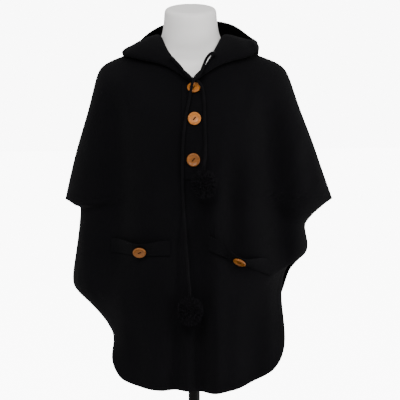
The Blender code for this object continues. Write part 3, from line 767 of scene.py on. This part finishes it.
def steel_material():
    """Near-black satin finish of the stand, a little worn."""
    made, tree, shader, place = new_material("black_steel")
    mottle = group_node(tree, "Mottle", {"Place": place, "Slow scale": 22.0, "Fine scale": 700.0})
    steel = look("form").steel
    worn = tuple(part * 1.8 for part in steel)
    rubbed = spread(tree, mottle.outputs["Fine"], -0.6, 0.9)
    feed(
        tree,
        shader,
        Base_Color=mix_colour(tree, rubbed, (*steel, 1), (*worn, 1)),
        Roughness=spread(tree, mottle.outputs["Slow"], 0.16, 0.26),
        Normal=rough_normal(tree, mottle.outputs["Fine"], 0.08, 0.0003),
    )
    set_gloss(shader, Specular_IOR_Level=0.08)
    return made


def floor_material():
    """Plain pale floor."""
    made, tree, shader, place = new_material("pale_floor")
    mottle = group_node(tree, "Mottle", {"Place": place, "Slow scale": 0.6, "Fine scale": 40.0})
    pale = look("stage").floor_colour
    worn = tuple(part * 0.99 for part in pale)
    colour = mix_colour(tree, mottle.outputs["Slow"], (*worn, 1), (*pale, 1))
    seen = add_node(tree, "ShaderNodeLightPath").outputs["Is Camera Ray"]
    glow = calc(tree, "MULTIPLY", seen, look("stage").backdrop)
    feed(tree, shader, Base_Color=colour, Emission_Strength=glow)
    set_gloss(shader, Emission_Color=(1, 1, 1, 1), Roughness=0.9)
    return made


def finish_of(name, build):
    """A material, made the first time that it is asked for."""
    return bpy.data.materials.get(name) or build()


# Shapes


def as_object(name, bm, material, smooth_angle=SMOOTH_ANGLE):
    """A new object at the origin from a bmesh in metres."""
    mesh = bpy.data.meshes.new(name)
    bm.to_mesh(mesh)
    bm.free()
    mesh.shade_smooth()
    mesh.set_sharp_from_angle(angle=radians(smooth_angle))
    mesh.materials.append(material)
    made = bpy.data.objects.new(name, mesh)
    bpy.context.scene.collection.objects.link(made)
    return made


def linked(verts, kind):
    """The edges or faces that meet some points, each of them once."""
    return list(dict.fromkeys(part for vert in verts for part in getattr(vert, kind)))


def packed_copy(node):
    """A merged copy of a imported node's mesh, with its triangles joined into quads."""
    bm = bmesh.new()
    bm.from_mesh(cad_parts[node].data)
    bmesh.ops.remove_doubles(bm, verts=bm.verts, dist=MERGE)
    for layer in list(bm.loops.layers.uv.values()):
        bm.loops.layers.uv.remove(layer)
    bmesh.ops.join_triangles(
        bm, faces=bm.faces, angle_face_threshold=QUAD_ANGLE, angle_shape_threshold=QUAD_SKEW
    )
    return bm


def distances(bm, starts):
    """Distance of each point along the cloth's own edges from the nearest of some points."""
    far = {vert.index: None for vert in bm.verts}
    queue = [(0.0, index) for index in starts]
    heapq.heapify(queue)
    while queue:
        walked, index = heapq.heappop(queue)
        if far[index] is not None:
            continue
        far[index] = walked
        for edge in bm.verts[index].link_edges:
            other = edge.other_vert(bm.verts[index])
            if far[other.index] is None:
                heapq.heappush(queue, (walked + edge.calc_length(), other.index))
    return far


def lay_out(bm):
    """A UV map in metres: across the cloth from its middle line, and down it by its height."""
    middle = KNIT_MIDDLE
    width = KNIT_MIDDLE_HALF
    bm.verts.ensure_lookup_table()
    bm.verts.index_update()
    starts = [vert.index for vert in bm.verts if abs(vert.co.x - middle) < width]
    across = distances(bm, starts)
    layer = bm.loops.layers.uv.new("cloth")
    for face in bm.faces:
        for loop in face.loops:
            x = loop.vert.co.x - middle
            reach = across[loop.vert.index]
            if abs(x) < width:
                reach = x
            elif reach is None:
                reach = x + width if x > 0 else x - width
            else:
                reach = reach + width if x > 0 else -reach - width
            loop[layer].uv = (reach, loop.vert.co.z)


def keep_rims(bm):
    """Creases the rims of a cloth wall, so that subdivision keeps its outline."""
    layer = bm.edges.layers.float.get("crease_edge") or bm.edges.layers.float.new("crease_edge")
    for edge in bm.edges:
        if edge.is_manifold and edge.calc_face_angle() > RIM_ANGLE:
            edge[layer] = 1.0


def subdivided(name, bm, levels, material):
    """A new object from a bmesh with its surface subdivided for good."""
    rough = as_object(f"{name}_rough", bm, material)
    modifier = rough.modifiers.new("Subdivision", "SUBSURF")
    modifier.levels = modifier.render_levels = levels
    modifier.uv_smooth = "PRESERVE_BOUNDARIES"
    mesh = bpy.data.meshes.new_from_object(
        rough.evaluated_get(bpy.context.evaluated_depsgraph_get())
    )
    bpy.data.objects.remove(rough)
    mesh.name = name
    made = bpy.data.objects.new(name, mesh)
    bpy.context.scene.collection.objects.link(made)
    return made


def crease_height(creases, x, z):
    """How far the creases lift the cloth at a place, in millimetres."""
    total = 0.0
    spot = Vector((x, z))
    for _, x_top, z_top, x_foot, z_foot, half_width, height in creases:
        top = Vector((x_top, z_top))
        line = Vector((x_foot, z_foot)) - top
        length = line.length
        along = (spot - top).dot(line) / length
        if not -CREASE_END < along < length + CREASE_END:
            continue
        off = abs((spot - top).cross(line)) / length
        if off > half_width * CREASE_REACH:
            continue
        fade = ease((along + CREASE_END) / (2 * CREASE_END))
        fade *= ease((length + CREASE_END - along) / (2 * CREASE_END))
        total += height * fade * exp(-((off / half_width) ** 2) / 2)
    return total


def cloth_lift(point, front):
    """How far a place on a panel is lifted by creases and slow unevenness, in metres."""
    x, y, z = point / MM
    calm = ease((abs(y) - SEAM_CALM / 3) / SEAM_CALM)
    calm *= ease(((FRONT_CALM_TOP if front else BACK_CALM_TOP) - z) / TOP_FADE)
    if front:
        calm *= ease((abs(x - CORD_MIDDLE) - CORD_CALM) / CORD_FADE)
        for pocket_x, pocket_z in POCKET_MIDDLES:
            away = Vector((x - pocket_x, (z - pocket_z) * POCKET_FLAT)).length
            calm *= ease((away - POCKET_CALM) / POCKET_FADE)
    if calm == 0.0:
        return 0.0
    spot = Vector((x, y * RIPPLE_Y, z * RIPPLE_Z)) / RIPPLE_LENGTH
    ripple = RIPPLE * (RIPPLE_MEAN + noise.noise(spot))
    creases = FRONT_CREASES if front else BACK_CREASES
    return (crease_height(creases, x, z) + ripple) * calm * MM


def crease_panel(made, front, form):
    """Moves a panel's points out or in by its creases, and keeps them off the form."""
    outward = Vector((0, -1 if front else 1, 0))
    for vert in made.data.vertices:
        lift = cloth_lift(vert.co, front)
        if lift == 0.0:
            continue
        moved = vert.co + outward * lift
        if lift < 0:
            near, normal, _, _ = form.find_nearest(moved, FORM_REACH)
            if near is not None and (moved - near).dot(normal) < FORM_ROOM:
                continue
        vert.co = moved
    made.data.update()


def soften_hood(made):
    """Slow unevenness in the hood's back, where it is clear of the panels."""
    for vert in made.data.vertices:
        spot = vert.co / MM
        share = ease((spot.y - HOOD_START_Y) / HOOD_FADE_Y)
        share *= ease((spot.z - HOOD_START_Z) / HOOD_FADE_Z)
        height = HOOD_RIPPLE * noise.noise(spot / HOOD_RIPPLE_LENGTH) + HOOD_MEAN
        vert.co += Vector(HOOD_OUT) * height * share * MM
    made.data.update()


def pipe(bm, path, radius, sides, lay=0.0, lobes=0, lobe=0.0):
    """A closed tube along a path. With lobes it is a twisted cord of that many strands."""
    tangents = [
        (path[min(i + 1, len(path) - 1)] - path[max(i - 1, 0)]).normalized()
        for i in range(len(path))
    ]
    turn = tangents[0].to_track_quat("Z", "Y").to_matrix().to_4x4()
    ring = bmesh.ops.create_circle(
        bm, segments=sides, radius=radius, matrix=Matrix.Translation(path[0]) @ turn
    )["verts"]
    if lobes:
        for k, vert in enumerate(ring):
            out = vert.co - path[0]
            vert.co = path[0] + out * (1 + lobe * cos(2 * pi * lobes * k / sides))
    edges = linked(ring, "link_edges")
    bmesh.ops.contextual_create(bm, geom=edges)
    for i in range(1, len(path)):
        step = (path[i] - path[i - 1]).length
        grown = bmesh.ops.extrude_edge_only(bm, edges=edges)["geom"]
        verts = [part for part in grown if isinstance(part, bmesh.types.BMVert)]
        edges = [part for part in grown if isinstance(part, bmesh.types.BMEdge)]
        bend = tangents[i - 1].rotation_difference(tangents[i]).to_matrix().to_4x4()
        twist = Matrix.Rotation(2 * pi * step / lay if lay else 0.0, 4, tangents[i])
        place = Matrix.Translation(path[i]) @ twist @ bend @ Matrix.Translation(-path[i - 1])
        bmesh.ops.transform(bm, matrix=place, verts=verts)
    bmesh.ops.contextual_create(bm, geom=edges)
    bmesh.ops.recalc_face_normals(bm, faces=bm.faces)


def smooth_path(points, spacing):
    """Evenly spaced points in metres along a smooth curve through a table's points."""
    given = [Vector(point) * MM for point in points]
    fine = []
    for i in range(len(given) - 1):
        start = given[i]
        end = given[i + 1]
        slope_in = (end - given[max(i - 1, 0)]) / 2
        slope_out = (given[min(i + 2, len(given) - 1)] - start) / 2
        if i == 0:
            slope_in = end - start
        if i + 2 == len(given):
            slope_out = end - start
        for k in range(CURVE_STEPS):
            f = k / CURVE_STEPS
            fine.append(
                (2 * f**3 - 3 * f**2 + 1) * start
                + (f**3 - 2 * f**2 + f) * slope_in
                + (3 * f**2 - 2 * f**3) * end
                + (f**3 - f**2) * slope_out
            )
    fine.append(given[-1])
    total = sum((b - a).length for a, b in zip(fine, fine[1:]))
    count = round(total / (spacing * MM))
    made = [fine[0]]
    walked = 0.0
    k = 0
    for i in range(1, count):
        target = total * i / count
        while walked + (fine[k + 1] - fine[k]).length < target:
            walked += (fine[k + 1] - fine[k]).length
            k += 1
        share = (target - walked) / (fine[k + 1] - fine[k]).length
        made.append(fine[k].lerp(fine[k + 1], share))
    return made + [fine[-1]], total


# Operators


class PONCHO_OT_stage(bpy.types.Operator):
    """Makes the camera at the photo's angle, soft lights and a plain pale floor"""

    bl_idname = "poncho.stage"
    bl_label = "Stage"

    def execute(self, context):
        wanted = look("stage")
        scene = context.scene
        angle = wanted.height_angle
        back = Vector((0, -cos(angle), sin(angle)))
        lens = bpy.data.cameras.new("camera")
        lens.sensor_width = SENSOR_WIDTH
        lens.lens = lens.sensor_width * wanted.distance / wanted.view_width
        lens.clip_end = CLIP_END
        camera = bpy.data.objects.new("camera", lens)
        camera.location = Vector(AIM) + back * wanted.distance
        camera.rotation_mode = "QUATERNION"
        aimed = (-back).to_track_quat("-Z", "Y")
        camera.rotation_quaternion = aimed @ Quaternion((0, 0, 1), -wanted.roll)
        scene.collection.objects.link(camera)
        scene.camera = camera

        world = bpy.data.worlds.new("surround")
        world.use_nodes = True
        tree = world.node_tree
        seen = add_node(tree, "ShaderNodeLightPath").outputs["Is Camera Ray"]
        extra = calc(tree, "MULTIPLY", seen, wanted.backdrop - wanted.surround)
        strength = calc(tree, "ADD", extra, wanted.surround)
        background = tree.nodes["Background"]
        background.inputs["Color"].default_value = (1, 1, 1, 1)
        tree.links.new(strength, background.inputs["Strength"])
        scene.world = world
        for name, place, width, height, watts in LIGHTS:
            lamp = bpy.data.lights.new(name, "AREA")
            lamp.shape = "RECTANGLE"
            lamp.size = width
            lamp.size_y = height
            lamp.energy = watts
            light = bpy.data.objects.new(name, lamp)
            light.location = place
            aim = Vector(AIM) - Vector(place)
            light.rotation_euler = aim.to_track_quat("-Z", "Y").to_euler()
            scene.collection.objects.link(light)

        bm = bmesh.new()
        bmesh.ops.create_grid(bm, x_segments=8, y_segments=8, size=wanted.floor_width / 2)
        bmesh.ops.translate(bm, vec=(0, 0, -FLOOR_DROP), verts=bm.verts)
        floor = as_object("floor", bm, finish_of("pale_floor", floor_material))
        return {"FINISHED"}


class PONCHO_OT_cords(bpy.types.Operator):
    """Makes the two free ends of the drawcord as twisted cords, and their pompoms"""

    bl_idname = "poncho.cords"
    bl_label = "Drawcord and pompoms"

    def execute(self, context):
        for side, route in CORD_ROUTES.items():
            self.cord(side, route, self.pompom(side))
        return {"FINISHED"}

    def cord(self, side, route, pompom):
        """One end of the cord, from the hood's rim to its pompom."""
        wanted = look("trim")
        path, length = smooth_path(route, CORD_STEP)
        bm = bmesh.new()
        radius = wanted.cord / 2 * CORD_RADIUS_SHARE
        pipe(bm, path, radius, CORD_SIDES, wanted.cord_lay, CORD_STRANDS, CORD_LOBE)
        name = f"cord_{side}"
        made = as_object(name, bm, finish_of("black_cord", cord_material))
        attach(made, BODY)
        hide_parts(f"drawcord_{side}")

    def yarn_end(self, bm):
        """One straight yarn end at the origin, along Z, as its faces."""
        verts = bmesh.ops.create_cone(
            bm,
            cap_ends=True,
            segments=YARN_SIDES,
            radius1=YARN_FOOT,
            radius2=YARN_TIP,
            depth=YARN_LENGTH,
        )["verts"]
        sides = [
            edge
            for edge in linked(verts, "link_edges")
            if abs(edge.verts[0].co.z - edge.verts[1].co.z) > YARN_LENGTH / 2
        ]
        split = bmesh.ops.subdivide_edges(bm, edges=sides, cuts=YARN_CUTS)["geom_split"]
        rings = [part for part in split if isinstance(part, bmesh.types.BMVert)]
        points = [vert for face in linked(rings, "link_faces") for vert in face.verts]
        return linked(points, "link_faces")

    def pompom(self, side):
        """A ball of cut yarn ends round a core."""
        strands = look("trim").strands
        rng = random.Random(POMPOM_SEEDS[side])
        bm = bmesh.new()
        bmesh.ops.create_icosphere(bm, subdivisions=3, radius=CORE_RADIUS)
        for vert in bm.verts:
            vert.co *= 1 + CORE_LUMPS * noise.noise(vert.co * 5)
        faces = self.yarn_end(bm)
        for k in range(strands):
            height = 1 - 2 * (k + 0.5) / strands
            around = k * pi * (3 - sqrt(5)) + rng.uniform(-YARN_TURN, YARN_TURN)
            flat = sqrt(1 - height * height)
            out = Vector((cos(around) * flat, sin(around) * flat, height))
            lean = Vector((rng.gauss(0, 1), rng.gauss(0, 1), rng.gauss(0, 1) - YARN_DROOP))
            aim = (out + lean * YARN_LEAN).normalized()
            reach = rng.uniform(*YARN_TIPS) - YARN_LENGTH / 2
            copy = bmesh.ops.duplicate(bm, geom=faces)["geom"]
            verts = [part for part in copy if isinstance(part, bmesh.types.BMVert)]
            turn = aim.to_track_quat("Z", "Y").to_matrix().to_4x4()
            spin = Matrix.Rotation(rng.uniform(0, 2 * pi), 4, "Z")
            bmesh.ops.transform(
                bm, matrix=Matrix.Translation(out * reach) @ turn @ spin, verts=verts
            )
            sway = Vector((rng.gauss(0, 1), rng.gauss(0, 1), rng.gauss(0, 1))) * YARN_SWAY
            for vert in verts:
                over = max(vert.co.length - SWAY_START, 0.0) / SWAY_LENGTH
                vert.co += sway * over * over
                if vert.co.length > 1.0:
                    vert.co.normalize()
        bmesh.ops.delete(bm, geom=faces, context="FACES")
        sizes = Vector(POMPOM_HALVES) * MM
        middle = Vector(POMPOMS[side]) * MM
        for vert in bm.verts:
            vert.co = vert.co * sizes + middle
        made = as_object(f"pompom_{side}_yarn", bm, finish_of("black_yarn", yarn_material), 80)
        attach(made, BODY)
        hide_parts(f"pompom_{side}")
        return made


class PONCHO_OT_form(bpy.types.Operator):
    """Makes the smooth white dress form, and finishes its steel stand"""

    bl_idname = "poncho.form"
    bl_label = "Dress form and stand"

    def execute(self, context):
        bm = packed_copy("dress_form")
        made = subdivided("form_shell", bm, 2, finish_of("white_satin", shell_material))
        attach(made, BODY)
        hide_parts("dress_form")
        for node in ("base_plate", "base_collar", "pole", "torso_flange"):
            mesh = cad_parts[node].data
            mesh.materials.clear()
            mesh.materials.append(finish_of("black_steel", steel_material))
        return {"FINISHED"}


class PONCHO_OT_cloth(bpy.types.Operator):
    """Makes the knit panels, the hood, the placket and the pocket welts as thin shells"""

    bl_idname = "poncho.cloth"
    bl_label = "Knit cloth"

    def execute(self, context):
        shell = bpy.data.objects["form_shell"].data
        shell.calc_loop_triangles()
        form = BVHTree.FromPolygons(
            [vert.co for vert in shell.vertices],
            [triangle.vertices for triangle in shell.loop_triangles],
        )
        for name, node, levels, wide, long, area, held, rests_on in CLOTHS:
            bm = packed_copy(node)
            lay_out(bm)
            keep_rims(bm)
            made = subdivided(name, bm, levels, finish_of("black_knit", knit_material))
            if node == "front_panel":
                crease_panel(made, True, form)
            elif node == "back_panel":
                crease_panel(made, False, form)
            elif node == "hood":
                soften_hood(made)
            rounded = made.modifiers.new("Rim", "BEVEL")
            rounded.width = RIM_ROUND * MM
            rounded.segments = 2
            rounded.limit_method = "ANGLE"
            rounded.angle_limit = RIM_ROUND_ANGLE
            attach(made, BODY)
            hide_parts(node)
        return {"FINISHED"}


class PONCHO_OT_buttons(bpy.types.Operator):
    """Makes the turned wooden buttons and the thread that they are sewn on with"""

    bl_idname = "poncho.buttons"
    bl_label = "Wooden buttons"

    def execute(self, context):
        for node, name, turned in BUTTONS:
            place = self.seat(node, turned)
            self.button(node, name, place)
            self.thread(name, place)
        return {"FINISHED"}

    def seat(self, node, turned):
        """Where a packed button's back lies, as a matrix whose Z looks out of its face."""
        points = numpy.array([vert.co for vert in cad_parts[node].data.vertices])
        middle = points.mean(axis=0)
        axis = Vector(numpy.linalg.svd(points - middle)[2][2])
        axis = -axis if axis.y > 0 else axis
        foot = min(Vector(point - middle).dot(axis) for point in points)
        turn = axis.to_track_quat("Z", "Y").to_matrix().to_4x4()
        level = turn.inverted() @ Vector((1, 0, 0))
        spin = Matrix.Rotation(-Vector((1, 0)).angle_signed(level.xy), 4, "Z")
        lean = Matrix.Rotation(radians(turned), 4, "Z")
        return Matrix.Translation(Vector(middle) + axis * foot) @ turn @ spin @ lean

    def button(self, node, name, place):
        """A dished button with two holes right through it."""
        wanted = look("trim")
        bm = bmesh.new()
        for radius, height in (BUTTON_PROFILE[0], BUTTON_PROFILE[-1]):
            self.pierced(bm, radius * MM, height * MM, wanted)
        points = [bm.verts.new((r * MM, 0, h * MM)) for r, h in BUTTON_PROFILE]
        edges = [bm.edges.new(pair) for pair in zip(points, points[1:])]
        bmesh.ops.spin(
            bm,
            geom=points + edges,
            cent=(0, 0, 0),
            axis=(0, 0, 1),
            angle=2 * pi,
            steps=BUTTON_STEPS,
            use_merge=True,
        )
        bmesh.ops.remove_doubles(bm, verts=bm.verts, dist=MERGE)
        for sign in (-1, 1):
            middle = Vector((sign * wanted.hole_apart / 2, 0))
            rim = [
                edge
                for edge in bm.edges
                if edge.is_boundary
                and all((v.co.xy - middle).length < wanted.hole * HOLE_REACH for v in edge.verts)
            ]
            bmesh.ops.bridge_loops(bm, edges=rim)
        bmesh.ops.recalc_face_normals(bm, faces=bm.faces)
        bmesh.ops.transform(bm, matrix=place, verts=bm.verts)
        made = as_object(name, bm, finish_of("turned_wood", wood_material), 50)
        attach(made, BODY)
        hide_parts(node)

    def pierced(self, bm, radius, height, wanted):
        """A flat round face at a height, with the two holes in it."""
        rings = [(Vector((0, 0, height)), radius, BUTTON_STEPS)]
        for sign in (-1, 1):
            middle = Vector((sign * wanted.hole_apart / 2, 0, height))
            rings.append((middle, wanted.hole / 2, HOLE_STEPS))
        edges = []
        for middle, size, steps in rings:
            made = bmesh.ops.create_circle(
                bm, segments=steps, radius=size, matrix=Matrix.Translation(middle)
            )["verts"]
            if steps == BUTTON_STEPS:
                start = (made[0].co - middle).xy
                ahead = Matrix.Rotation(start.angle_signed(Vector((1, 0))), 3, "Z")
                bmesh.ops.rotate(bm, cent=middle, matrix=ahead, verts=made)
            edges += linked(made, "link_edges")
        bmesh.ops.triangle_fill(bm, use_beauty=True, edges=edges)

    def thread(self, name, place):
        """Three stitches of black thread over the bridge between the holes."""
        half = look("trim").hole_apart / 2
        top = BUTTON_PROFILE[0][1]
        bm = bmesh.new()
        for off in THREAD_PLACES:
            path = [Vector((-half, off * MM, THREAD_FOOT * MM))]
            for k in range(THREAD_STEPS + 1):
                turn = pi * k / THREAD_STEPS
                height = top + THREAD_RISE * sin(turn) ** THREAD_ROUNDNESS
                path.append(Vector((-half * cos(turn), off * MM, height * MM)))
            path.append(Vector((half, off * MM, THREAD_FOOT * MM)))
            pipe(bm, [place @ point for point in path], THREAD_RADIUS * MM, THREAD_SIDES)
        made = as_object(f"{name}_thread", bm, finish_of("black_yarn", yarn_material))
        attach(made, BODY)


class PONCHO_PT_parts(bpy.types.Panel):
    """Lists the pieces of the poncho and their sizes and colours."""

    bl_idname = "PONCHO_PT_parts"
    bl_label = "Poncho"
    bl_space_type = "VIEW_3D"
    bl_region_type = "UI"
    bl_category = "Poncho"

    def draw(self, context):
        for maker in OPERATORS:
            self.layout.operator(maker.bl_idname)
        for label, group in LOOKS.items():
            box = self.layout.box()
            box.label(text=label.capitalize())
            for key in group.__annotations__:
                box.prop(getattr(context.scene, f"poncho_{label}"), key)


LOOKS = {
    "stage": PONCHO_stage_look,
    "cloth": PONCHO_cloth_look,
    "trim": PONCHO_trim_look,
    "form": PONCHO_form_look,
}
OPERATORS = (
    PONCHO_OT_stage,
    PONCHO_OT_cords,
    PONCHO_OT_form,
    PONCHO_OT_cloth,
    PONCHO_OT_buttons,
)


def register():
    for found in (*LOOKS.values(), *OPERATORS, PONCHO_PT_parts):
        bpy.utils.register_class(found)
    for label, group in LOOKS.items():
        setattr(bpy.types.Scene, f"poncho_{label}", PointerProperty(type=group))


def unregister():
    for label in LOOKS:
        delattr(bpy.types.Scene, f"poncho_{label}")
    for found in (PONCHO_PT_parts, *reversed(OPERATORS), *LOOKS.values()):
        bpy.utils.unregister_class(found)


def main():
    """Registers the add-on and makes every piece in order."""
    register()
    stitches_group()
    mottle_group()
    bpy.ops.poncho.stage()
    bpy.ops.poncho.cords()
    bpy.ops.poncho.form()
    bpy.ops.poncho.cloth()
    bpy.ops.poncho.buttons()


if __name__ == "__main__":
    main()
